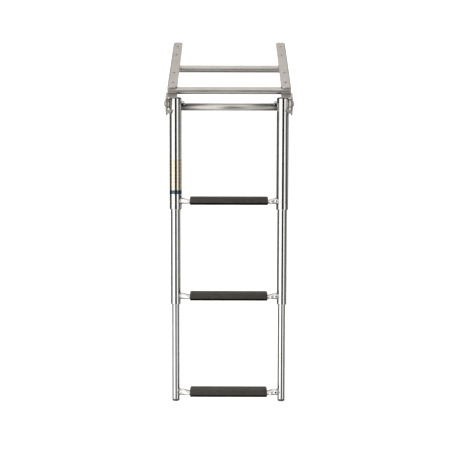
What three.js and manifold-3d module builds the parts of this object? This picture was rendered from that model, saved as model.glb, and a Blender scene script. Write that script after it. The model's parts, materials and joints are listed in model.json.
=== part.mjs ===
// Boat boarding ladder: three telescoping steps hung on a frame that bolts under a swim platform.
// Millimetres, +Z up. X = 0 is the plane of symmetry, Z = 0 the top of the mounting rails, Y = 0 the
// front cross bar's axis, and +Y points in under the boat. The ladder hangs down and leans out to -Y.
import * as THREE from 'three';
import { mergeVertices } from 'three/addons/utils/BufferGeometryUtils.js';
import Module from 'manifold-3d';

const wasm = await Module();
wasm.setup();

// ---- driving dimensions ----

const GAP = 0.3; // clearance between neighbouring pieces
const SPARE = 1; // how far a cutting tool stands past what it cuts
const SIDES = { left: -1, right: 1 };
const ROUND = 24; // facets round a tube

const TUBE_SPACING = 280; // between the centres of the two side tubes
const TUBE_X = TUBE_SPACING / 2;
const OUTER_TUBE = 31.75; // outside diameters of the three sections' tubes
const MIDDLE_TUBE = 25.4;
const INNER_TUBE = 19.05;
const TUBE_WALL = 1.5;

const LEAN = THREE.MathUtils.degToRad(25); // the hanging ladder leans out from the vertical
const PIVOT = new THREE.Vector3(0, -19, -42);

const RAIL_LENGTH = 350;
const RAIL_FRONT = -11; // Y of the rails' front ends
const RAIL_OUTER = 161; // X of the rails' outer faces
const RAIL_WIDTH = 26;
const RAIL_LEG = 16; // height of the turned-down outer edge
const RAIL_PLATE = 3.5;
const RAIL_BEND = 4; // outside radius along the rail's folded edge
const BEND_FILLET = 1; // inside radius of the same fold
const RAIL_CORNERS = { frontInner: 11, frontOuter: 5, rear: 8 }; // in plan
const BAR_RADIUS = 9.5; // cross bars and top brace
const BAR_WALL = 1.5;
const REAR_BAR_Y = 158;
const RAIL_HOLE = 7;
const RAIL_HOLE_OFFSETS = [-139, -69, 69, 139]; // along Y from the middle of the rail

const BOLT = 8; // pivot bolt's thread diameter

// Distances down the tubes from the pivot to each rung's centreline, with the ladder pulled out.
const RUNG_1 = 253.5;
const RUNG_2 = 505.5;
const RUNG_3 = 763.2;
const SEAM = 3; // a tube ends and its collar begins this far below the rung's centreline
const TUBE_TOP = -12; // the outer tube's open end, above the pivot
const MIDDLE_TOP = 226;
const INNER_TOP = 450;
const FOOT = 787.6;

const COLLAR_1 = 20.5; // lengths of the two collars
const COLLAR_2 = 19.3;
const COLLAR_CHAMFER = 2.4;

const RUNG_RADIUS = 8.5;
const RUNG_FACETS = 20;
const RUNG_FLAT = { depth: 33, height: 10.4, drop: 2.5 }; // pressed oval inside the tread
const PRESS_START = 126; // X where the rung begins to flatten, on its way to the tread
const PRESS_LENGTH = 23;
const TREAD = { width: 204, depth: 41, height: 21, corner: 4 };

// ---- materials ----

function finish(color, roughness, metalness) {
  return new THREE.MeshStandardMaterial({ color, roughness, metalness });
}

const polishedSteel = finish(0xd2d2d0, 0.16, 1);
const satinSteel = finish(0xc2bcb4, 0.34, 1);
const blackPlastic = finish(0x161616, 0.5, 0);
const treadPlastic = finish(0x454139, 0.72, 0);
const whiteNylon = finish(0xdcd8cc, 0.55, 0);
const footRubber = finish(0x3a3a3a, 0.8, 0);

// ---- shape helpers ----

function toSolid(geometry) {
  geometry.deleteAttribute('normal');
  geometry.deleteAttribute('uv');
  const merged = mergeVertices(geometry, 1e-4);
  const mesh = new wasm.Mesh({
    numProp: 3,
    vertProperties: merged.attributes.position.array,
    triVerts: new Uint32Array(merged.index.array),
  });
  return new wasm.Manifold(mesh);
}

function toGeometry(solid) {
  const mesh = solid.getMesh();
  const geometry = new THREE.BufferGeometry();
  geometry.setAttribute('position', new THREE.BufferAttribute(mesh.vertProperties, 3));
  geometry.setIndex(new THREE.BufferAttribute(mesh.triVerts, 1));
  geometry.computeVertexNormals();
  return geometry;
}

function join(...geometries) {
  return toGeometry(geometries.map(toSolid).reduce((sum, next) => sum.add(next)));
}

function cut(base, ...tools) {
  return toGeometry(tools.map(toSolid).reduce((rest, tool) => rest.subtract(tool), toSolid(base)));
}

function common(first, second) {
  return toGeometry(toSolid(first).intersect(toSolid(second)));
}

// A round solid about the Z axis. The profile is a list of [radius, z] and closes on itself.
function turned(profile, facets = ROUND) {
  const points = [...profile, profile[0]].map(([radius, z]) => new THREE.Vector2(radius, z));
  return new THREE.LatheGeometry(points, facets).rotateX(Math.PI / 2);
}

// A tube about the Z axis, between two distances below the origin.
function sleeve(outer, inner, top, bottom, facets = ROUND) {
  return turned([[inner, -bottom], [outer, -bottom], [outer, -top], [inner, -top]], facets);
}

// A plain rod along X between two X positions, at the given y and z.
function rodAlongX(radius, from, to, y = 0, z = 0, facets = ROUND) {
  const rod = new THREE.CylinderGeometry(radius, radius, Math.abs(to - from), facets);
  return rod.rotateZ(Math.PI / 2).translate((from + to) / 2, y, z);
}

// A plain rod along Z between two heights, at the given x and y.
function rodAlongZ(radius, from, to, x = 0, y = 0, facets = ROUND) {
  const rod = new THREE.CylinderGeometry(radius, radius, Math.abs(to - from), facets);
  return rod.rotateX(Math.PI / 2).translate(x, y, (from + to) / 2);
}

// A box between two opposite corners.
function block(from, to) {
  const size = to.map((value, index) => Math.abs(value - from[index]));
  const middle = to.map((value, index) => (value + from[index]) / 2);
  return new THREE.BoxGeometry(...size).translate(...middle);
}

// An outline of [y, z] points drawn on the YZ plane, extruded between two X positions.
function plateAcrossX(shape, from, to) {
  const low = Math.min(from, to);
  const plate = new THREE.ExtrudeGeometry(shape, { depth: Math.abs(to - from), bevelEnabled: false });
  plate.rotateX(Math.PI / 2);
  plate.rotateZ(Math.PI / 2);
  return plate.translate(low, 0, 0);
}

// A closed outline through corner points [x, y, radius], each corner rounded by its radius.
function roundedOutline(corners, arcSteps = 6) {
  const shape = new THREE.Shape();
  const outline = [];
  corners.forEach(([x, y, radius], index) => {
    const here = new THREE.Vector2(x, y);
    const before = corners[(index + corners.length - 1) % corners.length];
    const after = corners[(index + 1) % corners.length];
    const toBefore = new THREE.Vector2(before[0] - x, before[1] - y).normalize();
    const toAfter = new THREE.Vector2(after[0] - x, after[1] - y).normalize();
    if (radius === 0) {
      outline.push(here);
      return;
    }
    const half = Math.acos(toBefore.dot(toAfter)) / 2;
    const reach = radius / Math.tan(half);
    const start = here.clone().addScaledVector(toBefore, reach);
    const end = here.clone().addScaledVector(toAfter, reach);
    const bisector = toBefore.clone().add(toAfter).normalize();
    const centre = here.clone().addScaledVector(bisector, radius / Math.sin(half));
    const from = start.clone().sub(centre).angle();
    let turn = end.clone().sub(centre).angle() - from;
    if (turn > Math.PI) turn -= 2 * Math.PI;
    if (turn < -Math.PI) turn += 2 * Math.PI;
    for (let step = 0; step <= arcSteps; step += 1) {
      const angle = from + (turn * step) / arcSteps;
      outline.push(new THREE.Vector2(Math.cos(angle), Math.sin(angle)).multiplyScalar(radius).add(centre));
    }
  });
  shape.setFromPoints(outline);
  return shape;
}

function add(group, name, geometry, material) {
  const mesh = new THREE.Mesh(geometry, material);
  mesh.name = name;
  group.add(mesh);
  return mesh;
}

// ---- mounting frame ----

// An angle section: a flat with bolt holes on top, and a leg turned down along its outer edge.
function makeRail(side) {
  const inner = RAIL_OUTER - RAIL_WIDTH;
  const section = roundedOutline([
    [side * inner, 0, 0],
    [side * RAIL_OUTER, 0, RAIL_BEND],
    [side * RAIL_OUTER, -RAIL_LEG, 0],
    [side * (RAIL_OUTER - RAIL_PLATE), -RAIL_LEG, 0],
    [side * (RAIL_OUTER - RAIL_PLATE), -RAIL_PLATE, BEND_FILLET],
    [side * inner, -RAIL_PLATE, 0],
  ], 4);
  const angle = new THREE.ExtrudeGeometry(section, { depth: RAIL_LENGTH, bevelEnabled: false });
  angle.rotateX(Math.PI / 2).translate(0, RAIL_FRONT + RAIL_LENGTH, 0);

  const rear = RAIL_FRONT + RAIL_LENGTH;
  const plan = roundedOutline([
    [side * inner, RAIL_FRONT, RAIL_CORNERS.frontInner],
    [side * RAIL_OUTER, RAIL_FRONT, RAIL_CORNERS.frontOuter],
    [side * RAIL_OUTER, rear, RAIL_CORNERS.rear],
    [side * inner, rear, RAIL_CORNERS.rear],
  ]);
  const footprint = new THREE.ExtrudeGeometry(plan, { depth: RAIL_LEG + 2 * SPARE, bevelEnabled: false });
  footprint.translate(0, 0, -RAIL_LEG - SPARE);

  const legInner = RAIL_OUTER - RAIL_PLATE - BEND_FILLET;
  const barRelief = block(
    [side * legInner, RAIL_FRONT - SPARE, -RAIL_LEG - SPARE],
    [side * (RAIL_OUTER + SPARE), BAR_RADIUS + 1, -RAIL_PLATE],
  );
  const middle = RAIL_FRONT + RAIL_LENGTH / 2;
  const holeX = side * (RAIL_OUTER - RAIL_WIDTH / 2);
  const holes = RAIL_HOLE_OFFSETS.map((offset) => (
    rodAlongZ(RAIL_HOLE / 2, -RAIL_PLATE - SPARE, SPARE, holeX, middle + offset, 20)
  ));
  return cut(common(angle, footprint), barRelief, ...holes);
}

const BAR_Z = -RAIL_PLATE - GAP - BAR_RADIUS;

function makeCrossBar(halfLength, y) {
  const bar = sleeve(BAR_RADIUS, BAR_RADIUS - BAR_WALL, -halfLength, halfLength);
  return bar.rotateY(Math.PI / 2).translate(0, y, BAR_Z);
}

const EAR_INNER = RAIL_OUTER + GAP; // the ear plates stand outside the rails
const EAR_PLATE = 3.7;
const EAR_OUTER = EAR_INNER + EAR_PLATE;
const FLANGE_BOTTOM = 21.3; // above the pivot, clear of the tube's top as it swings
const FLANGE_PLATE = 2.9;
const FLANGE_FRONT = -14; // Y from the pivot
const FLANGE_REAR = 10.2;
const BOLT_FIT = 0.4; // radial clearance round the pivot bolt

// Ear plate for the pivot bolt, with a flange over the tube's top that welds to the cross bar.
function makePivotBracket(side) {
  const outline = roundedOutline([
    [21, 19, 4],
    [8, 26, 8],
    [-16, 24, 10],
    [-24, -12, 12],
    [-19, -26, 9],
    [-3, -29, 8],
    [18, -10, 10],
  ]);
  const ear = plateAcrossX(outline, side * EAR_INNER, side * EAR_OUTER);
  const flange = block(
    [side * (RAIL_OUTER - RAIL_WIDTH), FLANGE_FRONT, FLANGE_BOTTOM],
    [side * (EAR_INNER + EAR_PLATE / 2), FLANGE_REAR, FLANGE_BOTTOM + FLANGE_PLATE],
  );
  const boltHole = rodAlongX(BOLT / 2 + BOLT_FIT, side * (EAR_INNER - SPARE), side * (EAR_OUTER + SPARE));
  return cut(join(ear, flange), boltHole).translate(0, PIVOT.y, PIVOT.z);
}

const LUG = { top: -16, shoulder: -18.5, bottom: -26.5, back: -14.7, thickness: 4.4 };
const LUG_TIP = TUBE_X + 7; // X of the lug's inner end, in front of the tube
const LUG_TAPER = 8;

// A wedge on the ear's inner face that the tube's front leans against when the ladder is down. It is
// drawn in the ladder's axes, looking along the tube's front.
function makeStopLug(side) {
  const root = side * (EAR_INNER - GAP);
  const outline = new THREE.Shape([
    new THREE.Vector2(root, LUG.top),
    new THREE.Vector2(side * LUG_TIP, LUG.top),
    new THREE.Vector2(side * LUG_TIP, LUG.shoulder),
    new THREE.Vector2(side * (LUG_TIP + LUG_TAPER), LUG.bottom),
    new THREE.Vector2(root, LUG.bottom),
  ]);
  const lug = new THREE.ExtrudeGeometry(outline, { depth: LUG.thickness, bevelEnabled: false });
  return lug.rotateX(Math.PI / 2).translate(0, LUG.back, 0);
}

const NUT_OUTER = TUBE_X - OUTER_TUBE / 2 - GAP;
const NUT = { radius: 7.5, hexagon: 5.4, collar: 5.9, thickness: 7.6 };
const NUT_INNER = NUT_OUTER - NUT.thickness;
const BOLT_HEAD = 7.6;
const BOLT_THREAD_SHOWN = 0.6; // past the nut
const WASHER_RADIUS = 13;

// A domed bolt head outside the ear and a plain shank through ear, washer, tube and nut.
function makePivotBolt(side) {
  const seat = EAR_OUTER + GAP;
  const shankEnd = NUT_INNER - BOLT_THREAD_SHOWN;
  const profile = [
    [0, shankEnd], [BOLT / 2, shankEnd], [BOLT / 2, seat], [BOLT_HEAD, seat], [BOLT_HEAD, seat + 1.2],
    [BOLT_HEAD - 1, seat + 3], [BOLT_HEAD - 3.4, seat + 4.2], [0, seat + 4.6],
  ];
  const points = profile.map(([radius, x]) => new THREE.Vector2(radius, x));
  const bolt = new THREE.LatheGeometry(points, 20).rotateZ(-side * Math.PI / 2);
  return bolt.translate(0, PIVOT.y, PIVOT.z);
}

// A hexagonal lock nut with a round collar on its inner end.
function makePivotNut(side) {
  const hexagon = rodAlongX(NUT.radius, side * NUT_OUTER, side * (NUT_OUTER - NUT.hexagon), 0, 0, 6);
  const collar = rodAlongX(NUT.collar, side * (NUT_OUTER - NUT.hexagon + GAP), side * NUT_INNER);
  const hole = rodAlongX(BOLT / 2 + GAP, side * (NUT_OUTER + SPARE), side * (NUT_INNER - SPARE));
  return cut(join(hexagon, collar), hole).translate(0, PIVOT.y, PIVOT.z);
}

// A thick nylon washer that keeps the tube off the ear.
function makePivotWasher(side) {
  const from = TUBE_X + OUTER_TUBE / 2 + GAP;
  const to = EAR_INNER - GAP;
  const washer = sleeve(WASHER_RADIUS, BOLT / 2 + BOLT_FIT, -(to - from) / 2, (to - from) / 2, 28);
  return washer.rotateY(Math.PI / 2).translate(side * (from + to) / 2, PIVOT.y, PIVOT.z);
}

function buildFrame() {
  const frame = new THREE.Group();
  add(frame, 'front_cross_bar', makeCrossBar(RAIL_OUTER, 0), satinSteel);
  add(frame, 'rear_cross_bar', makeCrossBar(RAIL_OUTER - RAIL_PLATE - GAP, REAR_BAR_Y), satinSteel);
  for (const [name, side] of Object.entries(SIDES)) {
    add(frame, `mounting_rail_${name}`, makeRail(side), satinSteel);
    add(frame, `pivot_bracket_${name}`, makePivotBracket(side), satinSteel);
    const lug = add(frame, `stop_lug_${name}`, makeStopLug(side), satinSteel);
    lug.position.copy(PIVOT);
    lug.rotation.x = -LEAN;
    add(frame, `pivot_bolt_${name}`, makePivotBolt(side), polishedSteel);
    add(frame, `pivot_nut_${name}`, makePivotNut(side), polishedSteel);
    add(frame, `pivot_washer_${name}`, makePivotWasher(side), whiteNylon);
  }
  return frame;
}

// ---- telescoping ladder, in its own axes: the pivot at the origin and the tubes along -Z ----

// Rung: a round tube pressed to a flat oval under the tread, its ends cut to fit the side tubes.
function makeRung(level, tubeDiameter) {
  const bends = [0, 0.3, 0.65, 1].map((share) => PRESS_START - share * PRESS_LENGTH);
  const stations = [-TUBE_X, ...bends.map((x) => -x)];
  stations.push(...stations.map((x) => -x).reverse());
  const around = RUNG_FACETS;
  const rings = (inset) => stations.map((x) => {
    const pressed = THREE.MathUtils.smoothstep(PRESS_START - Math.abs(x), 0, PRESS_LENGTH);
    const depth = THREE.MathUtils.lerp(RUNG_RADIUS, RUNG_FLAT.depth / 2, pressed) - inset;
    const height = THREE.MathUtils.lerp(RUNG_RADIUS, RUNG_FLAT.height / 2, pressed) - inset;
    return Array.from({ length: around }, (_, index) => {
      const angle = (2 * Math.PI * index) / around;
      return [x, depth * Math.cos(angle), height * Math.sin(angle) - RUNG_FLAT.drop * pressed - level];
    });
  });
  const positions = [...rings(0), ...rings(TUBE_WALL)].flat(2);
  const indices = [];
  const loops = stations.length;
  const vertex = (skin, loop, index) => (skin * loops + loop) * around + (index % around);
  for (let index = 0; index < around; index += 1) {
    for (let loop = 0; loop < loops - 1; loop += 1) {
      for (const skin of [0, 1]) {
        const corners = [
          vertex(skin, loop, index), vertex(skin, loop, index + 1),
          vertex(skin, loop + 1, index + 1), vertex(skin, loop + 1, index),
        ];
        if (skin === 1) corners.reverse();
        indices.push(corners[0], corners[1], corners[2], corners[0], corners[2], corners[3]);
      }
    }
    for (const loop of [0, loops - 1]) {
      const corners = [
        vertex(0, loop, index), vertex(1, loop, index),
        vertex(1, loop, index + 1), vertex(0, loop, index + 1),
      ];
      if (loop > 0) corners.reverse();
      indices.push(corners[0], corners[1], corners[2], corners[0], corners[2], corners[3]);
    }
  }
  const pipe = new THREE.BufferGeometry();
  pipe.setAttribute('position', new THREE.Float32BufferAttribute(positions, 3));
  pipe.setIndex(indices);
  const seats = [-TUBE_X, TUBE_X].map((x) => (
    rodAlongZ(tubeDiameter / 2 + GAP, -level - 2 * RUNG_RADIUS, -level + 2 * RUNG_RADIUS, x)
  ));
  const ends = [-1, 1].map((side) => (
    block(
      [side * (TUBE_X - SPARE), -2 * RUNG_RADIUS, -level - 2 * RUNG_RADIUS],
      [side * (TUBE_X + 2 * RUNG_RADIUS), 2 * RUNG_RADIUS, -level + 2 * RUNG_RADIUS],
    )
  ));
  return cut(pipe, ...seats, ...ends);
}

// Tread: a moulded sleeve round the pressed middle of a rung.
function makeTread(level) {
  const halfDepth = TREAD.depth / 2;
  const halfHeight = TREAD.height / 2;
  const outline = roundedOutline([
    [-halfDepth, -halfHeight, TREAD.corner],
    [halfDepth, -halfHeight, TREAD.corner],
    [halfDepth, halfHeight, TREAD.corner],
    [-halfDepth, halfHeight, TREAD.corner],
  ], 4);
  const slot = Array.from({ length: RUNG_FACETS }, (_, index) => {
    const angle = (2 * Math.PI * index) / RUNG_FACETS;
    const depth = RUNG_FLAT.depth / 2 + GAP;
    const height = RUNG_FLAT.height / 2 + GAP;
    return new THREE.Vector2(depth * Math.cos(angle), height * Math.sin(angle) - RUNG_FLAT.drop);
  });
  outline.holes.push(new THREE.Path(slot));
  return plateAcrossX(outline, -TREAD.width / 2, TREAD.width / 2).translate(0, 0, -level);
}

// Collar: as wide as the tube above it, chamfered in at its lower end.
function makeCollar(diameter, top, length) {
  const outer = diameter / 2;
  const bore = outer - TUBE_WALL;
  const bottom = top + length;
  return turned([
    [bore, -top], [bore, -bottom], [outer - TUBE_WALL / 2, -bottom],
    [outer, COLLAR_CHAMFER - bottom], [outer, -top],
  ]);
}

// Thin nylon sleeve that fills the space between a tube and the bore it slides in.
function makeGuide(innerTube, outerTube, top, bottom) {
  return sleeve(outerTube / 2 - TUBE_WALL - GAP, innerTube / 2 + GAP, top, bottom);
}

function boltCrossHole() {
  return rodAlongX(BOLT / 2 + BOLT_FIT, -OUTER_TUBE, OUTER_TUBE);
}

const CAP_INSET = 0.4; // the cap's edge stands in from the tube's
const CAP_SPIGOT = 5;

// Domed plug: a lid on the tube's end and a shorter spigot inside it.
function makeTopCap() {
  const rim = OUTER_TUBE / 2 - CAP_INSET;
  const spigot = OUTER_TUBE / 2 - TUBE_WALL - GAP;
  const seat = -TUBE_TOP + GAP;
  const points = [
    [0, seat - CAP_SPIGOT], [spigot, seat - CAP_SPIGOT], [spigot, seat], [rim, seat], [rim, seat + 2],
    [rim - 1.2, seat + 3.2], [rim - 5, seat + 4], [0, seat + 4.2],
  ].map(([radius, z]) => new THREE.Vector2(radius, z));
  return new THREE.LatheGeometry(points, ROUND).rotateX(Math.PI / 2);
}

const BRACE = { back: 11.6, down: 8.4, end: TUBE_X - 10 };
const NUT_ROOM = 8; // radius of the relief in the brace round each nut

// Top brace: behind and just below the bolts, its ends cut round the tubes and the nuts.
function makeTopBrace() {
  const bar = sleeve(BAR_RADIUS, BAR_RADIUS - BAR_WALL, -BRACE.end, BRACE.end);
  bar.rotateY(Math.PI / 2).translate(0, BRACE.back, -BRACE.down);
  const reliefs = Object.values(SIDES).flatMap((side) => [
    rodAlongZ(OUTER_TUBE / 2 + GAP, -2 * OUTER_TUBE, OUTER_TUBE, side * TUBE_X),
    rodAlongX(NUT_ROOM, side * TUBE_X, side * (NUT_INNER - 1.5)),
  ]);
  return cut(bar, ...reliefs);
}

const FOOT_PLUG = { lip: 6, chamfer: 2.4, spigot: 12 };

// Foot: a soft plug in the inner tube's end, with a rounded lip as wide as the tube.
function makeFootCap() {
  const rim = INNER_TUBE / 2;
  const spigot = rim - TUBE_WALL - GAP;
  const seat = FOOT_PLUG.lip - FOOT;
  const points = [
    [0, -FOOT], [rim - FOOT_PLUG.chamfer, -FOOT], [rim - FOOT_PLUG.chamfer / 4, FOOT_PLUG.chamfer / 4 - FOOT],
    [rim, FOOT_PLUG.chamfer - FOOT], [rim, seat], [spigot, seat],
    [spigot, seat + FOOT_PLUG.spigot], [0, seat + FOOT_PLUG.spigot],
  ].map(([radius, z]) => new THREE.Vector2(radius, z));
  return new THREE.LatheGeometry(points, ROUND).rotateX(Math.PI / 2);
}

const GUIDE_MEET_1 = 246.8; // where each moving top guide comes to rest on the bush below it
const GUIDE_MEET_2 = 498;
const GUIDE_INSET = 2; // from the middle tube's top to its guide
const BUSH_INSET = 1; // from a collar's lower end to the bush inside it
const GUIDE_LENGTH = 28;

function buildUpperSection() {
  const section = new THREE.Group();
  add(section, 'top_brace', makeTopBrace(), satinSteel);
  add(section, 'rung_1', makeRung(RUNG_1, OUTER_TUBE), polishedSteel);
  add(section, 'tread_1', makeTread(RUNG_1), treadPlastic);
  const seam = RUNG_1 + SEAM;
  const collarEnd = seam + COLLAR_1;
  for (const [name, side] of Object.entries(SIDES)) {
    const tube = cut(sleeve(OUTER_TUBE / 2, OUTER_TUBE / 2 - TUBE_WALL, TUBE_TOP, seam), boltCrossHole());
    const collar = makeCollar(OUTER_TUBE, seam + GAP, COLLAR_1 - GAP);
    const bush = makeGuide(MIDDLE_TUBE, OUTER_TUBE, GUIDE_MEET_1 + GAP, collarEnd - BUSH_INSET);
    add(section, `outer_tube_${name}`, tube, polishedSteel).position.x = side * TUBE_X;
    add(section, `tube_cap_${name}`, makeTopCap(), blackPlastic).position.x = side * TUBE_X;
    add(section, `outer_collar_${name}`, collar, polishedSteel).position.x = side * TUBE_X;
    add(section, `outer_bush_${name}`, bush, whiteNylon).position.x = side * TUBE_X;
  }
  return section;
}

function buildMiddleSection() {
  const section = new THREE.Group();
  add(section, 'rung_2', makeRung(RUNG_2, MIDDLE_TUBE), polishedSteel);
  add(section, 'tread_2', makeTread(RUNG_2), treadPlastic);
  const seam = RUNG_2 + SEAM;
  const collarEnd = seam + COLLAR_2;
  for (const [name, side] of Object.entries(SIDES)) {
    const tube = sleeve(MIDDLE_TUBE / 2, MIDDLE_TUBE / 2 - TUBE_WALL, MIDDLE_TOP, seam);
    const collar = makeCollar(MIDDLE_TUBE, seam + GAP, COLLAR_2 - GAP);
    const bush = makeGuide(INNER_TUBE, MIDDLE_TUBE, GUIDE_MEET_2 + GAP, collarEnd - BUSH_INSET);
    const guide = makeGuide(MIDDLE_TUBE, OUTER_TUBE, MIDDLE_TOP + GUIDE_INSET, GUIDE_MEET_1 - GAP);
    add(section, `middle_tube_${name}`, tube, polishedSteel).position.x = side * TUBE_X;
    add(section, `middle_collar_${name}`, collar, polishedSteel).position.x = side * TUBE_X;
    add(section, `middle_bush_${name}`, bush, whiteNylon).position.x = side * TUBE_X;
    add(section, `middle_top_guide_${name}`, guide, whiteNylon).position.x = side * TUBE_X;
  }
  return section;
}

function buildLowerSection() {
  const section = new THREE.Group();
  add(section, 'rung_3', makeRung(RUNG_3, INNER_TUBE), polishedSteel);
  add(section, 'tread_3', makeTread(RUNG_3), treadPlastic);
  for (const [name, side] of Object.entries(SIDES)) {
    const tube = sleeve(INNER_TUBE / 2, INNER_TUBE / 2 - TUBE_WALL, INNER_TOP, FOOT - FOOT_PLUG.lip - GAP);
    const guide = makeGuide(INNER_TUBE, MIDDLE_TUBE, GUIDE_MEET_2 - GUIDE_LENGTH, GUIDE_MEET_2 - GAP);
    add(section, `inner_tube_${name}`, tube, polishedSteel).position.x = side * TUBE_X;
    add(section, `inner_top_guide_${name}`, guide, whiteNylon).position.x = side * TUBE_X;
    add(section, `foot_cap_${name}`, makeFootCap(), footRubber).position.x = side * TUBE_X;
  }
  return section;
}

// ---- assembly ----

const ladder = new THREE.Group();
ladder.position.copy(PIVOT);
ladder.rotation.x = -LEAN;
ladder.add(buildUpperSection(), buildMiddleSection(), buildLowerSection());

const group = new THREE.Group();
group.add(buildFrame(), ladder);

export default group;
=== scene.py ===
import json
import math

import bmesh
import bpy
from mathutils import Matrix, Vector, noise


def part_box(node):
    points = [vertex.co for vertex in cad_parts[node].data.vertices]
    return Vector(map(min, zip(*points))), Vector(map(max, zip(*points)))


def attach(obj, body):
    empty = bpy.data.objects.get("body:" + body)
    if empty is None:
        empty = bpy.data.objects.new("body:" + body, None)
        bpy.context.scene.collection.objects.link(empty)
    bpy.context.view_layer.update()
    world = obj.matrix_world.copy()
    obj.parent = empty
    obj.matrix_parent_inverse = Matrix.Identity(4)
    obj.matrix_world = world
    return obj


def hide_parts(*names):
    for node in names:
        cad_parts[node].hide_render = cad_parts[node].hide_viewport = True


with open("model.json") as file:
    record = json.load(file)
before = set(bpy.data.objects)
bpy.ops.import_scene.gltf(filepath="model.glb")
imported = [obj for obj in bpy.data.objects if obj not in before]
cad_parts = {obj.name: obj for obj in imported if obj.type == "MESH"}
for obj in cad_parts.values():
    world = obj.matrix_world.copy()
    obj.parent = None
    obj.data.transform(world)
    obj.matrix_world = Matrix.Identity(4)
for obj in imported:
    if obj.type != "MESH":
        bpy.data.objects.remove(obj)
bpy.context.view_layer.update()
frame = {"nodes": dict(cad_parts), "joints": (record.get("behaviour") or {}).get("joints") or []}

MM = 0.001
SIDES = {"left": -1, "right": 1}

# ---- the ladder's own axes: the pivot at the origin and the tubes along -Z ----

JOINTS = {joint["name"]: joint for joint in frame["joints"]}
PIVOT = Vector(JOINTS["ladder_swing"]["pos_m"])
TUBE_UP = Vector(JOINTS["middle_slide"]["axis"])
LEAN = math.atan2(TUBE_UP.y, TUBE_UP.z)
LADDER = Matrix.Translation(PIVOT) @ Matrix.Rotation(-LEAN, 4, "X")
BODY = {1: "upper_section", 2: "middle_section", 3: "lower_section"}

# Sizes in millimetres, as in the CAD model.
TUBE_X = 140
TUBE_RADIUS = {1: 15.875, 2: 12.7, 3: 9.525}
TUBE_WALL = 1.5
TUBE_TOP = {1: -12, 2: 226, 3: 450}
RUNG = {1: 253.5, 2: 505.5, 3: 763.2}
SEAM = 3
FOOT = 787.6
FOOT_LIP = 6
FOOT_SPIGOT = 12  # how far the foot's plug reaches up into the tube
COLLAR = {1: 20.5, 2: 19.3}
GAP = 0.3
RUNG_RADIUS = 8.5
RUNG_FLAT_DEPTH = 16.5
RUNG_FLAT_HEIGHT = 5.2
RUNG_FLAT_DROP = 2.5
PRESS_START = 126
PRESS_LENGTH = 23
PRESS_STEPS = 24  # rings along each stretch where a rung turns flat
TREAD_HALF_WIDTH = 102
TREAD_HALF_DEPTH = 20.5
TREAD_HALF_HEIGHT = 10.5
TREAD_SHADE_BAND = 5  # height of the near-black band of painted shade along the tread's lower edge
BAR_RADIUS = 9.5
BAR_Z = -13.3
REAR_BAR_Y = 158
RAIL_OUTER = 161
EAR_OUTER = 165
BRACE_BACK = 11.6
BRACE_DOWN = 8.4
BRACE_END = 130
NUT_INNER = 116.2
BOLT_RADIUS = 4
BOLT_BORE = 4.4
BOLT_HEAD_RADIUS = 7.6
WASHER_RADIUS = 13

LABEL_TOP = 145
LABEL_BAND = 226
LABEL_BOTTOM = 236
LABEL_RULE = 3.6  # spacing of the fine rules across the label

ROUND = 96  # segments round a polished tube
RUNG_ROUND = 72
WELD_ROUND = 64
WELD_RADIUS = 1.0
CONTACT = 0.02  # play between a fine piece and the tube that it sits on
AXIS = 0.01  # radius of the ring that closes a solid turned piece


# ---- camera ----

LENS = 80
SENSOR = 36
CAMERA_FROM_PIVOT = Vector((0.001, -2.427, 1.005))
PITCH = math.radians(29.42)
YAW = math.radians(0.28)


def make_camera():
    data = bpy.data.cameras.new("camera")
    camera = bpy.data.objects.new("camera", data)
    bpy.context.scene.collection.objects.link(camera)
    data.sensor_width = SENSOR
    data.lens = LENS
    data.clip_end = 60
    camera.location = PIVOT + CAMERA_FROM_PIVOT
    aim = Vector((-math.sin(YAW) * math.cos(PITCH), math.cos(YAW) * math.cos(PITCH), -math.sin(PITCH)))
    camera.rotation_euler = aim.to_track_quat("-Z", "Y").to_euler()
    bpy.context.scene.camera = camera


# ---- materials ----

def new_material(name):
    material = bpy.data.materials.new(name)
    material.use_nodes = True
    tree = material.node_tree
    return material, tree, tree.nodes["Principled BSDF"]


# Noise over a piece. stretch lengthens it along an axis, and lean turns it to lie along the tubes.
def noise_node(tree, scale, detail=3.0, stretch=(1, 1, 1), lean=0.0):
    coordinates = tree.nodes.new("ShaderNodeTexCoord")
    mapping = tree.nodes.new("ShaderNodeMapping")
    mapping.vector_type = "TEXTURE"
    mapping.inputs["Rotation"].default_value = (-lean, 0, 0)
    mapping.inputs["Scale"].default_value = stretch
    texture = tree.nodes.new("ShaderNodeTexNoise")
    texture.inputs["Scale"].default_value = scale
    texture.inputs["Detail"].default_value = detail
    tree.links.new(coordinates.outputs["Object"], mapping.inputs["Vector"])
    tree.links.new(mapping.outputs["Vector"], texture.inputs["Vector"])
    return texture


def spread(tree, texture, low, high):
    ramp = tree.nodes.new("ShaderNodeMapRange")
    ramp.inputs["From Min"].default_value = 0.3
    ramp.inputs["From Max"].default_value = 0.7
    ramp.inputs["To Min"].default_value = low
    ramp.inputs["To Max"].default_value = high
    tree.links.new(texture.outputs["Fac"], ramp.inputs["Value"])
    return ramp.outputs["Result"]


def tint(tree, texture, dark, light):
    ramp = tree.nodes.new("ShaderNodeValToRGB")
    ramp.color_ramp.elements[0].position = 0.3
    ramp.color_ramp.elements[0].color = (*dark, 1)
    ramp.color_ramp.elements[1].position = 0.7
    ramp.color_ramp.elements[1].color = (*light, 1)
    tree.links.new(texture.outputs["Fac"], ramp.inputs["Fac"])
    return ramp.outputs["Color"]


def bump(tree, shader, texture, strength, distance):
    node = tree.nodes.new("ShaderNodeBump")
    node.inputs["Strength"].default_value = strength
    node.inputs["Distance"].default_value = distance
    tree.links.new(texture.outputs["Fac"], node.inputs["Height"])
    tree.links.new(node.outputs["Normal"], shader.inputs["Normal"])


EDGE_SHADE_TINT = (0.30, 0.29, 0.28, 1)  # dark tint at grazing angles that paints shade along the steel's edges where it curves away
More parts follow.
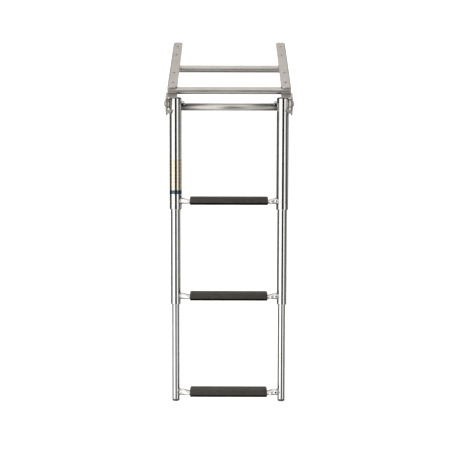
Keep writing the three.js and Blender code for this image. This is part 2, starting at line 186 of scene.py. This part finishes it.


# Bright drawn tube: faint polishing streaks along it and cloudy smears in its gloss.
def make_polished_steel(name, smooth, rough):
    material, tree, shader = new_material(name)
    shader.inputs["Metallic"].default_value = 1
    shader.inputs["Specular Tint"].default_value = EDGE_SHADE_TINT
    smears = noise_node(tree, 38, 4)
    tree.links.new(tint(tree, smears, (0.84, 0.83, 0.81), (0.92, 0.91, 0.895)), shader.inputs["Base Color"])
    tree.links.new(spread(tree, smears, smooth, rough), shader.inputs["Roughness"])
    streaks = noise_node(tree, 900, 2, (1, 1, 50), LEAN)
    bump(tree, shader, streaks, 0.08, 0.00005)
    return material


# Warm satin finish of the frame: brushed grain along X or Y and slightly mottled colour.
def make_satin_steel(name, grain):
    material, tree, shader = new_material(name)
    shader.inputs["Metallic"].default_value = 1
    mottle = noise_node(tree, 24, 5)
    shader.inputs["Specular Tint"].default_value = EDGE_SHADE_TINT
    tree.links.new(tint(tree, mottle, (0.64, 0.605, 0.56), (0.73, 0.695, 0.65)), shader.inputs["Base Color"])
    brushing = noise_node(tree, 700, 3, grain)
    tree.links.new(spread(tree, brushing, 0.34, 0.48), shader.inputs["Roughness"])
    bump(tree, shader, brushing, 0.25, 0.0001)
    return material


# Weld beads: duller and a little straw coloured, with fine ripples.
def make_weld_steel():
    material, tree, shader = new_material("weld_steel")
    shader.inputs["Metallic"].default_value = 1
    ripples = noise_node(tree, 420, 3)
    tree.links.new(tint(tree, ripples, (0.50, 0.46, 0.40), (0.74, 0.72, 0.69)), shader.inputs["Base Color"])
    tree.links.new(spread(tree, ripples, 0.22, 0.42), shader.inputs["Roughness"])
    bump(tree, shader, ripples, 0.5, 0.0003)
    return material


def make_plastic(name, dark, light, grain_scale, roughness, grain_depth, gloss=0.3):
    material, tree, shader = new_material(name)
    shader.inputs["Specular IOR Level"].default_value = gloss
    grain = noise_node(tree, grain_scale, 4)
    patches = noise_node(tree, grain_scale / 30, 2)
    tree.links.new(tint(tree, patches, dark, light), shader.inputs["Base Color"])
    tree.links.new(spread(tree, grain, roughness - 0.07, roughness + 0.07), shader.inputs["Roughness"])
    bump(tree, shader, grain, 0.35, grain_depth)
    return material


# Plain printed film on one tube, over the same bright steel: amber with fine rules across it.
def make_label_film():
    material, tree, shader = new_material("label_film")
    shader.inputs["Metallic"].default_value = 1
    shader.inputs["Roughness"].default_value = 0.1
    shader.inputs["Specular Tint"].default_value = EDGE_SHADE_TINT
    coordinates = tree.nodes.new("ShaderNodeTexCoord")
    mapping = tree.nodes.new("ShaderNodeMapping")
    mapping.vector_type = "TEXTURE"
    mapping.inputs["Rotation"].default_value = (-LEAN, 0, 0)
    rules = tree.nodes.new("ShaderNodeTexWave")
    rules.bands_direction = "Z"
    rules.inputs["Scale"].default_value = 2 * math.pi / (20 * LABEL_RULE * MM)
    tree.links.new(coordinates.outputs["Object"], mapping.inputs["Vector"])
    tree.links.new(mapping.outputs["Vector"], rules.inputs["Vector"])
    colours = tint(tree, rules, (0.74, 0.62, 0.44), (0.97, 0.92, 0.78))
    tree.links.new(colours, shader.inputs["Base Color"])
    return material


def make_label_band():
    material, tree, shader = new_material("label_band")
    shader.inputs["Metallic"].default_value = 1
    shader.inputs["Roughness"].default_value = 0.2
    shader.inputs["Specular Tint"].default_value = EDGE_SHADE_TINT
    speckle = noise_node(tree, 300, 2)
    tree.links.new(tint(tree, speckle, (0.05, 0.09, 0.14), (0.12, 0.19, 0.24)), shader.inputs["Base Color"])
    return material


POLISHED = make_polished_steel("polished_steel", 0.045, 0.09)
RUNG_STEEL = make_polished_steel("polished_rung_steel", 0.07, 0.12)
SATIN_ACROSS = make_satin_steel("satin_steel_bars", (50, 1, 1))
SATIN_ALONG = make_satin_steel("satin_steel_rails", (1, 50, 1))
WELD = make_weld_steel()
TREAD = make_plastic("tread_plastic", (0.033, 0.0295, 0.025), (0.046, 0.041, 0.035), 2600, 0.62, 0.00008)
# Near-black, dull plastic that paints shade on the tread's lower band, where the underside falls in shadow.
TREAD_PAINTED_SHADE = make_plastic(
    "tread_painted_shade_plastic", (0.003, 0.003, 0.003), (0.006, 0.006, 0.005), 1400, 0.8, 0.00005, gloss=0.02,
)
BLACK = make_plastic("black_plastic", (0.010, 0.010, 0.010), (0.020, 0.020, 0.020), 1800, 0.42, 0.00005)
NYLON = make_plastic("nylon", (0.62, 0.60, 0.53), (0.70, 0.68, 0.61), 1500, 0.5, 0.00004)
RUBBER = make_plastic("foot_rubber", (0.055, 0.055, 0.055), (0.085, 0.085, 0.085), 2200, 0.68, 0.00008)


# ---- mesh helpers ----

def finish_piece(obj, material, body, replaced=()):
    obj.data.materials.append(material)
    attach(obj, body)
    if replaced:
        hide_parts(*replaced)


def mesh_object(name, points, faces, place, edge=0.0):
    mesh = bpy.data.meshes.new(name)
    mesh.from_pydata([place @ (Vector(point) * MM) for point in points], [], faces)
    tidy = bmesh.new()
    tidy.from_mesh(mesh)
    bmesh.ops.recalc_face_normals(tidy, faces=tidy.faces)
    tidy.to_mesh(mesh)
    tidy.free()
    mesh.shade_smooth()
    mesh.set_sharp_from_angle(angle=math.radians(38))
    obj = bpy.data.objects.new(name, mesh)
    bpy.context.scene.collection.objects.link(obj)
    if edge:
        soften(obj, edge)
    return obj


def soften(obj, width):
    bevel = obj.modifiers.new("edges", "BEVEL")
    bevel.width = width * MM
    bevel.segments = 3
    bevel.limit_method = "ANGLE"
    bevel.angle_limit = math.radians(38)
    bevel.harden_normals = True


# A grid of rings joined into a skin. Each ring is a list of points. The skin closes on itself when
# loop is true, and otherwise each end is filled.
def skin(rings, loop):
    around = len(rings[0])
    points = [point for ring in rings for point in ring]
    faces = []
    for index in range(len(rings) if loop else len(rings) - 1):
        here = index * around
        there = (index + 1) % len(rings) * around
        for step in range(around):
            after = (step + 1) % around
            faces.append((here + step, here + after, there + after, there + step))
    if not loop:
        faces.append(tuple(range(around)))
        faces.append(tuple(range(len(points) - around, len(points))))
    return points, faces


# A round piece about an axis through centre, from a profile of (radius, distance along the axis).
def turned(name, profile, place, centre=(0, 0, 0), axis="Z", hollow=True, edge=0.0, segments=ROUND):
    rings = []
    for radius, along in profile:
        ring = []
        for step in range(segments):
            angle = 2 * math.pi * step / segments
            flat = (radius * math.cos(angle), radius * math.sin(angle))
            local = (flat[0], flat[1], along) if axis == "Z" else (along, flat[0], flat[1])
            ring.append(tuple(a + b for a, b in zip(local, centre)))
        rings.append(ring)
    points, faces = skin(rings, hollow)
    return mesh_object(name, points, faces, place, edge)


def wall(outer, inner, top, bottom):
    return [(inner, -bottom), (outer, -bottom), (outer, -top), (inner, -top)]


# A weld bead along a closed path, in the ladder's or the frame's axes.
def bead(name, path, radius, place, body):
    curve = bpy.data.curves.new(name, "CURVE")
    curve.dimensions = "3D"
    curve.bevel_depth = radius * MM
    curve.bevel_resolution = 3
    spline = curve.splines.new("POLY")
    spline.points.add(len(path) - 1)
    for point, position in zip(spline.points, path):
        point.co = (*(place @ (Vector(position) * MM)), 1)
    spline.use_cyclic_u = True
    obj = bpy.data.objects.new(name, curve)
    bpy.context.scene.collection.objects.link(obj)
    finish_piece(obj, WELD, body)


# Cuts a hidden tool out of a piece and removes the tool.
def carve(obj, tool):
    cutter = obj.modifiers.new("cut", "BOOLEAN")
    cutter.object = tool
    cutter.operation = "DIFFERENCE"
    cutter.solver = "EXACT"
    bpy.context.view_layer.objects.active = obj
    bpy.ops.object.modifier_apply(modifier="cut")
    bpy.data.objects.remove(tool)


# ---- side tubes, collars and caps ----

# The pivot bolt passes through both walls of an outer tube.
def carve_bolt_bore(tube, side):
    reach = TUBE_RADIUS[1] + 2
    bore = [(BOLT_BORE, side * (TUBE_X - reach)), (BOLT_BORE, side * (TUBE_X + reach))]
    carve(tube, turned("bore", bore, LADDER, axis="X", hollow=False))


def make_tubes():
    for level, radius in TUBE_RADIUS.items():
        bottom = RUNG[level] + SEAM if level < 3 else FOOT - FOOT_LIP - GAP
        for name, side in SIDES.items():
            node = f"{['outer', 'middle', 'inner'][level - 1]}_tube_{name}"
            profile = wall(radius, radius - TUBE_WALL, TUBE_TOP[level], bottom)
            tube = turned(f"{node}_fine", profile, LADDER, (side * TUBE_X, 0, 0), edge=0.3)
            if level == 1:
                carve_bolt_bore(tube, side)
            finish_piece(tube, POLISHED, BODY[level], [node])


def make_collars():
    for level, length in COLLAR.items():
        radius = TUBE_RADIUS[level]
        top = RUNG[level] + SEAM + 0.5
        bottom = RUNG[level] + SEAM + length
        bore = radius - TUBE_WALL
        rolled_edge = [(1.1, 0), (0.5, 0.5), (0.1, 1.7), (0, 2.6)]
        profile = [(bore, -bottom)]
        profile += [(radius - inset, -bottom + rise) for inset, rise in rolled_edge]
        profile += [(radius, -top), (bore, -top)]
        for name, side in SIDES.items():
            node = f"{['outer', 'middle'][level - 1]}_collar_{name}"
            collar = turned(f"{node}_fine", profile, LADDER, (side * TUBE_X, 0, 0), edge=0.3)
            finish_piece(collar, POLISHED, BODY[level], [node])


def make_tube_caps():
    rim = TUBE_RADIUS[1] - 0.4
    seat = -TUBE_TOP[1] + 0.2
    shoulder = seat + 2
    crown = 2.1
    skirt = rim - 2
    steps = 10
    dome = []
    for step in range(steps):
        angle = 0.5 * math.pi * step / steps
        dome.append((rim * math.cos(angle) ** 0.6, shoulder + crown * math.sin(angle)))
    profile = [(skirt, seat - 5), (skirt, seat), (rim, seat), *dome, (AXIS, shoulder + crown)]
    for name, side in SIDES.items():
        cap = turned(f"tube_cap_{name}_fine", profile, LADDER, (side * TUBE_X, 0, 0), hollow=False)
        finish_piece(cap, BLACK, BODY[1], [f"tube_cap_{name}"])


def make_foot_caps():
    rim = TUBE_RADIUS[3] - 0.05
    spigot = rim - TUBE_WALL - GAP
    seat = FOOT_LIP - FOOT
    top = seat + FOOT_SPIGOT
    lead_in = 0.8
    curve = 2.6
    dish = 0.6
    steps = 8
    groove = [(0.4, 0), (0, 0.4), (0, 1.4), (0.35, 1.7), (0, 2.0)]
    profile = [(AXIS, top), (spigot - lead_in, top), (spigot, top - lead_in), (spigot, seat)]
    profile += [(rim - inset, seat - drop) for inset, drop in groove]
    for step in range(steps):
        angle = 0.5 * math.pi * step / steps
        profile.append((rim - curve + curve * math.cos(angle), curve - FOOT - curve * math.sin(angle)))
    profile += [(rim - curve - 1, -FOOT), (rim - curve - 1 - dish, dish - FOOT), (AXIS, dish - FOOT)]
    for name, side in SIDES.items():
        cap = turned(f"foot_cap_{name}_fine", profile, LADDER, (side * TUBE_X, 0, 0), hollow=False)
        finish_piece(cap, RUBBER, BODY[3], [f"foot_cap_{name}"])


# ---- rungs and treads ----

def pressed_share(x):
    share = min(max((PRESS_START - abs(x)) / PRESS_LENGTH, 0), 1)
    return share * share * (3 - 2 * share)


# Round at the side tubes, pressed to a flat oval under the tread, with a shallow crease where it turns.
def rung_ring(x, level):
    share = pressed_share(x)
    depth = RUNG_RADIUS + (RUNG_FLAT_DEPTH - RUNG_RADIUS) * share
    height = RUNG_RADIUS + (RUNG_FLAT_HEIGHT - RUNG_RADIUS) * share
    squareness = 1 - 0.32 * math.sin(math.pi * share) - 0.18 * share
    ring = []
    for step in range(RUNG_ROUND):
        angle = 2 * math.pi * step / RUNG_ROUND
        across = math.copysign(abs(math.cos(angle)) ** squareness, math.cos(angle))
        up = math.copysign(abs(math.sin(angle)) ** squareness, math.sin(angle))
        ring.append((x, depth * across, height * up - RUNG_FLAT_DROP * share - RUNG[level]))
    return ring


# A weld bead where a rung meets the wall of its side tube.
def make_rung_weld(level, name):
    narrowest = 3
    path = []
    for step in range(WELD_ROUND):
        angle = 2 * math.pi * step / WELD_ROUND
        across = RUNG_RADIUS * math.cos(angle)
        inset = math.sqrt(max(TUBE_RADIUS[level] ** 2 - across ** 2, narrowest ** 2))
        height = RUNG_RADIUS * math.sin(angle) - RUNG[level]
        path.append((SIDES[name] * (TUBE_X - inset), across, height))
    bead(f"rung_{level}_weld_{name}", path, WELD_RADIUS, LADDER, BODY[level])


def make_rungs():
    under_tread = 60
    inside_tube = TUBE_X - 3
    seat_half = 30
    for level, tube_radius in TUBE_RADIUS.items():
        pressed = [PRESS_START - PRESS_LENGTH * step / PRESS_STEPS for step in range(PRESS_STEPS, -1, -1)]
        outward = [under_tread, *pressed, inside_tube]
        stations = [-x for x in reversed(outward)] + outward
        points, faces = skin([rung_ring(x, level) for x in stations], False)
        rung = mesh_object(f"rung_{level}_fine", points, faces, LADDER)
        for side in SIDES.values():
            seat = tube_radius + CONTACT
            profile = [(seat, -RUNG[level] - seat_half), (seat, -RUNG[level] + seat_half)]
            carve(rung, turned("seat", profile, LADDER, (side * TUBE_X, 0, 0), hollow=False))
        finish_piece(rung, RUNG_STEEL, BODY[level], [f"rung_{level}"])
        for name in SIDES:
            make_rung_weld(level, name)


# Half the tread's width at a place across its depth: its rear corners are rounded in.
def tread_half_width(across):
    straight = 0.45 * TREAD_HALF_DEPTH
    pull_in = 3.4
    share = min(max((across - straight) / (TREAD_HALF_DEPTH - straight), 0), 1)
    return TREAD_HALF_WIDTH - pull_in * (1 - math.sqrt(1 - share * share * 0.96))


# The tread's cross-section: round corners, ribs along its top, and a step in above its band of painted shade.
def tread_outline():
    corner = 4
    ribs = 8
    rib_height = 0.45
    groove_floor = -0.35  # where the cosine that shapes the ribs is cut off flat
    outline = []
    for sign_depth, sign_height, start in [(1, 1, 0), (-1, 1, 90), (-1, -1, 180), (1, -1, 270)]:
        for step in range(9):
            angle = math.radians(start + 90 * step / 8)
            outline.append((
                sign_depth * (TREAD_HALF_DEPTH - corner) + corner * math.cos(angle),
                sign_height * (TREAD_HALF_HEIGHT - corner) + corner * math.sin(angle),
            ))
        if (sign_depth, sign_height) == (1, 1):
            span = TREAD_HALF_DEPTH - corner
            steps = ribs * 12
            for step in range(1, steps):
                across = span - 2 * span * step / steps
                wave = math.cos(2 * math.pi * ribs * step / steps)
                drop = rib_height * (1 - max(wave, groove_floor)) / (1 - groove_floor)
                outline.append((across, TREAD_HALF_HEIGHT - drop))
        if (sign_depth, sign_height) == (-1, 1):
            outline += shade_band_step(-1)
        if (sign_depth, sign_height) == (1, -1):
            outline += reversed(shade_band_step(1))
    return outline


# The bead and the narrow step in that separate a tread's grip from the near-black band of painted shade below
# it, from the top down.
def shade_band_step(sign_depth):
    top = TREAD_SHADE_BAND - TREAD_HALF_HEIGHT
    steps = [(0.5, 2.2), (0.0, 1.7), (0.0, 0.9), (0.6, 0.3), (1.3, 0.1), (1.3, -0.3), (0.9, -0.5)]
    return [(sign_depth * (TREAD_HALF_DEPTH - inset), top + rise) for inset, rise in steps]


# How far a tread's section shrinks and how far it stops short, at the rings of a rounded end from its tip in.
TREAD_END = [(1.6, 0), (0.5, 0.8), (0, 1.8)]


def make_treads():
    outline = tread_outline()
    stations = [(-1, *ring) for ring in TREAD_END] + [(1, *ring) for ring in reversed(TREAD_END)]
    for level in TUBE_RADIUS:
        rings = []
        for side, inset, pull in stations:
            rings.append([
                (
                    side * (tread_half_width(across) - pull),
                    across * (1 - inset / TREAD_HALF_DEPTH),
                    height * (1 - inset / TREAD_HALF_HEIGHT) - RUNG[level],
                )
                for across, height in outline
            ])
        points, faces = skin(rings, False)
        tread = mesh_object(f"tread_{level}_fine", points, faces, LADDER)
        finish_piece(tread, TREAD, BODY[level], [f"tread_{level}"])
        # The faces of the lower band take the near-black plastic as painted shade.
        tread.data.materials.append(TREAD_PAINTED_SHADE)
        to_ladder = LADDER.inverted()
        for polygon in tread.data.polygons:
            height = (to_ladder @ polygon.center).z / MM + RUNG[level]
            if height < TREAD_SHADE_BAND - TREAD_HALF_HEIGHT:
                polygon.material_index = 1


# ---- top brace, cross bars and pivot hardware ----

def make_top_brace():
    profile = wall(BAR_RADIUS, BAR_RADIUS - TUBE_WALL, -BRACE_END, BRACE_END)
    centre = (0, BRACE_BACK, -BRACE_DOWN)
    brace = turned("top_brace_fine", profile, LADDER, centre, axis="X")
    seat_radius = TUBE_RADIUS[1] + 0.05
    nut_room = 8
    for side in SIDES.values():
        seat = [(seat_radius, -40), (seat_radius, 20)]
        carve(brace, turned("seat", seat, LADDER, (side * TUBE_X, 0, 0), hollow=False))
        relief = [(nut_room, side * (NUT_INNER - 1.5)), (nut_room, side * TUBE_X)]
        carve(brace, turned("relief", relief, LADDER, axis="X", hollow=False))
    finish_piece(brace, SATIN_ACROSS, BODY[1], ["top_brace"])


def make_cross_bars():
    bars = {"front_cross_bar": (RAIL_OUTER, 0), "rear_cross_bar": (RAIL_OUTER - 3.8, REAR_BAR_Y)}
    for node, (half_length, y) in bars.items():
        profile = wall(BAR_RADIUS, BAR_RADIUS - TUBE_WALL, -half_length, half_length)
        bar = turned(f"{node}_fine", profile, Matrix.Identity(4), (0, y, BAR_Z), axis="X", edge=0.4)
        finish_piece(bar, SATIN_ACROSS, "mounting_frame", [node])


def make_pivot_hardware():
    swing = Matrix.Translation(PIVOT)
    for name, side in SIDES.items():
        head = EAR_OUTER + GAP
        shoulder = head + 1.0
        rise = 3.6
        tip = NUT_INNER - 0.6
        shank = [(BOLT_RADIUS, tip), (BOLT_RADIUS, head)]
        shank += [(BOLT_HEAD_RADIUS, head), (BOLT_HEAD_RADIUS, shoulder)]
        dome = [
            (BOLT_HEAD_RADIUS * math.cos(angle), shoulder + rise * math.sin(angle))
            for angle in (0.25, 0.5, 0.75, 1.0, 1.25, 1.45)
        ]
        profile = [(AXIS, tip), *shank, *dome, (AXIS, shoulder + rise)]
        profile = [(radius, side * along) for radius, along in profile]
        bolt = turned(f"pivot_bolt_{name}_fine", profile, swing, axis="X", hollow=False, segments=48)
        finish_piece(bolt, POLISHED, "mounting_frame", [f"pivot_bolt_{name}"])
        inner = TUBE_X + TUBE_RADIUS[1] + GAP
        outer = RAIL_OUTER
        profile = [(BOLT_BORE, inner), (WASHER_RADIUS, inner), (WASHER_RADIUS, outer), (BOLT_BORE, outer)]
        profile = [(radius, side * along) for radius, along in profile]
        washer = turned(f"pivot_washer_{name}_fine", profile, swing, axis="X", edge=0.4, segments=64)
        finish_piece(washer, NYLON, "mounting_frame", [f"pivot_washer_{name}"])


# A thin printed film wrapped round the left outer tube, with a dark band at its lower end.
def make_label():
    radius = TUBE_RADIUS[1]
    for name, top, bottom, material in (
        ("label_film", LABEL_TOP, LABEL_BAND - GAP, make_label_film()),
        ("label_band", LABEL_BAND, LABEL_BOTTOM, make_label_band()),
    ):
        profile = wall(radius + 0.12, radius + CONTACT, top, bottom)
        film = turned(name, profile, LADDER, (-TUBE_X, 0, 0))
        finish_piece(film, material, BODY[1])


# ---- CAD pieces that keep their shape ----

def dress_cad_nodes():
    looks = {
        "mounting_rail": (SATIN_ALONG, 0.5),
        "pivot_bracket": (SATIN_ACROSS, 0.6),
        "stop_lug": (SATIN_ACROSS, 0.5),
        "pivot_nut": (POLISHED, 0.4),
        "outer_bush": (NYLON, 0),
        "middle_bush": (NYLON, 0),
        "middle_top_guide": (NYLON, 0),
        "inner_top_guide": (NYLON, 0),
    }
    for kind, (material, edge) in looks.items():
        for name in SIDES:
            node = frame["nodes"][f"{kind}_{name}"]
            node.data.materials.clear()
            node.data.materials.append(material)
            if edge:
                soften(node, edge)


# ---- floor, world and lights ----

FLOOR_BELOW = 0.30  # the ladder hangs clear of the floor
FLOOR_RADIUS = 9


def make_floor():
    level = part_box("foot_cap_left")[0][2] - FLOOR_BELOW
    points = [(0, 0, level)]
    for step in range(ROUND):
        angle = 2 * math.pi * step / ROUND
        points.append((FLOOR_RADIUS * math.cos(angle), FLOOR_RADIUS * math.sin(angle), level))
    faces = [(0, 1 + step, 1 + (step + 1) % ROUND) for step in range(ROUND)]
    mesh = bpy.data.meshes.new("floor")
    mesh.from_pydata(points, [], faces)
    floor = bpy.data.objects.new("floor", mesh)
    bpy.context.scene.collection.objects.link(floor)
    material, tree, shader = new_material("floor")
    shader.inputs["Roughness"].default_value = 0.9
    shader.inputs["Specular IOR Level"].default_value = 0.1
    patches = noise_node(tree, 2, 2)
    tree.links.new(tint(tree, patches, (0.93, 0.93, 0.925), (0.95, 0.95, 0.945)), shader.inputs["Base Color"])
    floor.data.materials.append(material)
    floor.visible_glossy = False


# What the polished tubes reflect: bright panels with dark gaps between them, placed so that the
# tubes' stripes fall where they are wanted in the camera's view. The camera itself sees plain white.
# Each entry is a bearing in degrees, 0 towards -Y and positive towards +X, and the brightness from there on.
PANELS = [
    (-180, 1.00), (-152, 0.12), (-104, 0.04), (-76, 1.30), (-14, 0.01), (30, 1.20), (52, 0.38), (68, 0.04),
    (98, 0.38), (130, 0.20), (152, 1.00),
]
CEILING = 1.10  # the ring of light above the panels
OVERHEAD = 0.60  # the dimmer opening in the middle of it
TABLE = 0.95  # what lies below and in front
PIT = 0.08  # what lies below and behind

# Where one of these gives way to the next, as the Z or Y part of the direction looked in.
CEILING_START = (0.58, 0.70)
OPENING_START = (0.92, 0.95)
BELOW_START = (-0.42, -0.50)
TABLE_EDGE = (-0.55, -0.40)


def grey(value):
    return (value, value, value, 1)


def world_ramp(nodes, links, value, low, high):
    ramp = nodes.new("ShaderNodeMapRange")
    ramp.inputs["From Min"].default_value = low
    ramp.inputs["From Max"].default_value = high
    links.new(value, ramp.inputs["Value"])
    return ramp.outputs["Result"]


# The panels by bearing, with soft edges between them.
def panel_colours(nodes, links, split):
    flip = nodes.new("ShaderNodeMath")
    flip.operation = "MULTIPLY"
    flip.inputs[1].default_value = -1
    links.new(split.outputs["Y"], flip.inputs[0])
    bearing = nodes.new("ShaderNodeMath")
    bearing.operation = "ARCTAN2"
    links.new(split.outputs["X"], bearing.inputs[0])
    links.new(flip.outputs["Value"], bearing.inputs[1])
    panels = nodes.new("ShaderNodeValToRGB")
    stops = panels.color_ramp.elements
    softness = 0.006
    stops[0].position = 0
    stops[0].color = grey(PANELS[0][1])
    stops[1].position = 1
    stops[1].color = grey(PANELS[-1][1])
    for (_, previous), (degrees, brightness) in zip(PANELS, PANELS[1:]):
        place = (degrees + 180) / 360
        stops.new(place - softness).color = grey(previous)
        stops.new(place + softness).color = grey(brightness)
    links.new(world_ramp(nodes, links, bearing.outputs["Value"], -math.pi, math.pi), panels.inputs["Fac"])
    return panels.outputs["Color"]


# Mixes two colours, each of them a socket or a plain brightness.
def world_mix(nodes, links, share, first, second):
    mix = nodes.new("ShaderNodeMix")
    mix.data_type = "RGBA"
    links.new(share, mix.inputs["Factor"])
    for name, colour in (("A", first), ("B", second)):
        if isinstance(colour, float):
            mix.inputs[name].default_value = grey(colour)
        else:
            links.new(colour, mix.inputs[name])
    return mix.outputs["Result"]


def make_world():
    world = bpy.data.worlds.new("studio")
    bpy.context.scene.world = world
    world.use_nodes = True
    nodes, links = world.node_tree.nodes, world.node_tree.links
    nodes.clear()
    coordinates = nodes.new("ShaderNodeTexCoord")
    split = nodes.new("ShaderNodeSeparateXYZ")
    links.new(coordinates.outputs["Generated"], split.inputs["Vector"])
    height = split.outputs["Z"]
    colour = panel_colours(nodes, links, split)
    colour = world_mix(nodes, links, world_ramp(nodes, links, height, *CEILING_START), colour, CEILING)
    colour = world_mix(nodes, links, world_ramp(nodes, links, height, *OPENING_START), colour, OVERHEAD)
    below = world_mix(nodes, links, world_ramp(nodes, links, split.outputs["Y"], *TABLE_EDGE), TABLE, PIT)
    colour = world_mix(nodes, links, world_ramp(nodes, links, height, *BELOW_START), colour, below)
    room = nodes.new("ShaderNodeBackground")
    links.new(colour, room.inputs["Color"])
    plain = nodes.new("ShaderNodeBackground")
    plain.inputs["Color"].default_value = grey(1)
    path = nodes.new("ShaderNodeLightPath")
    choice = nodes.new("ShaderNodeMixShader")
    links.new(path.outputs["Is Camera Ray"], choice.inputs["Fac"])
    links.new(room.outputs["Background"], choice.inputs[1])
    links.new(plain.outputs["Background"], choice.inputs[2])
    output = nodes.new("ShaderNodeOutputWorld")
    links.new(choice.outputs["Shader"], output.inputs["Surface"])


SKY_FROM = (0, 1, 5)
SKY_SPREAD = math.radians(70)
LAMP_FROM = (-2.4, -2.2, 2.0)
LAMP_TARGET = (0, 0, -0.4)


# Lamps light the pieces but are left out of reflections, as the floor is.
def make_light(name, kind, location, target, energy):
    data = bpy.data.lights.new(name, kind)
    data.energy = energy
    light = bpy.data.objects.new(name, data)
    light.location = location
    light.visible_glossy = False
    light.rotation_euler = (Vector(target) - Vector(location)).to_track_quat("-Z", "Y").to_euler()
    bpy.context.scene.collection.objects.link(light)
    return data


def make_lights():
    sky = make_light("overhead", "SUN", SKY_FROM, (0, 0, 0), 1.5)
    sky.angle = SKY_SPREAD
    lamp = make_light("front_left", "AREA", LAMP_FROM, LAMP_TARGET, 40)
    lamp.size = 1.6


bpy.context.scene.view_settings.view_transform = "Standard"
make_camera()
make_tubes()
make_collars()
make_tube_caps()
make_foot_caps()
make_rungs()
make_treads()
make_top_brace()
make_cross_bars()
make_pivot_hardware()
make_label()
dress_cad_nodes()
make_floor()
make_world()
make_lights()
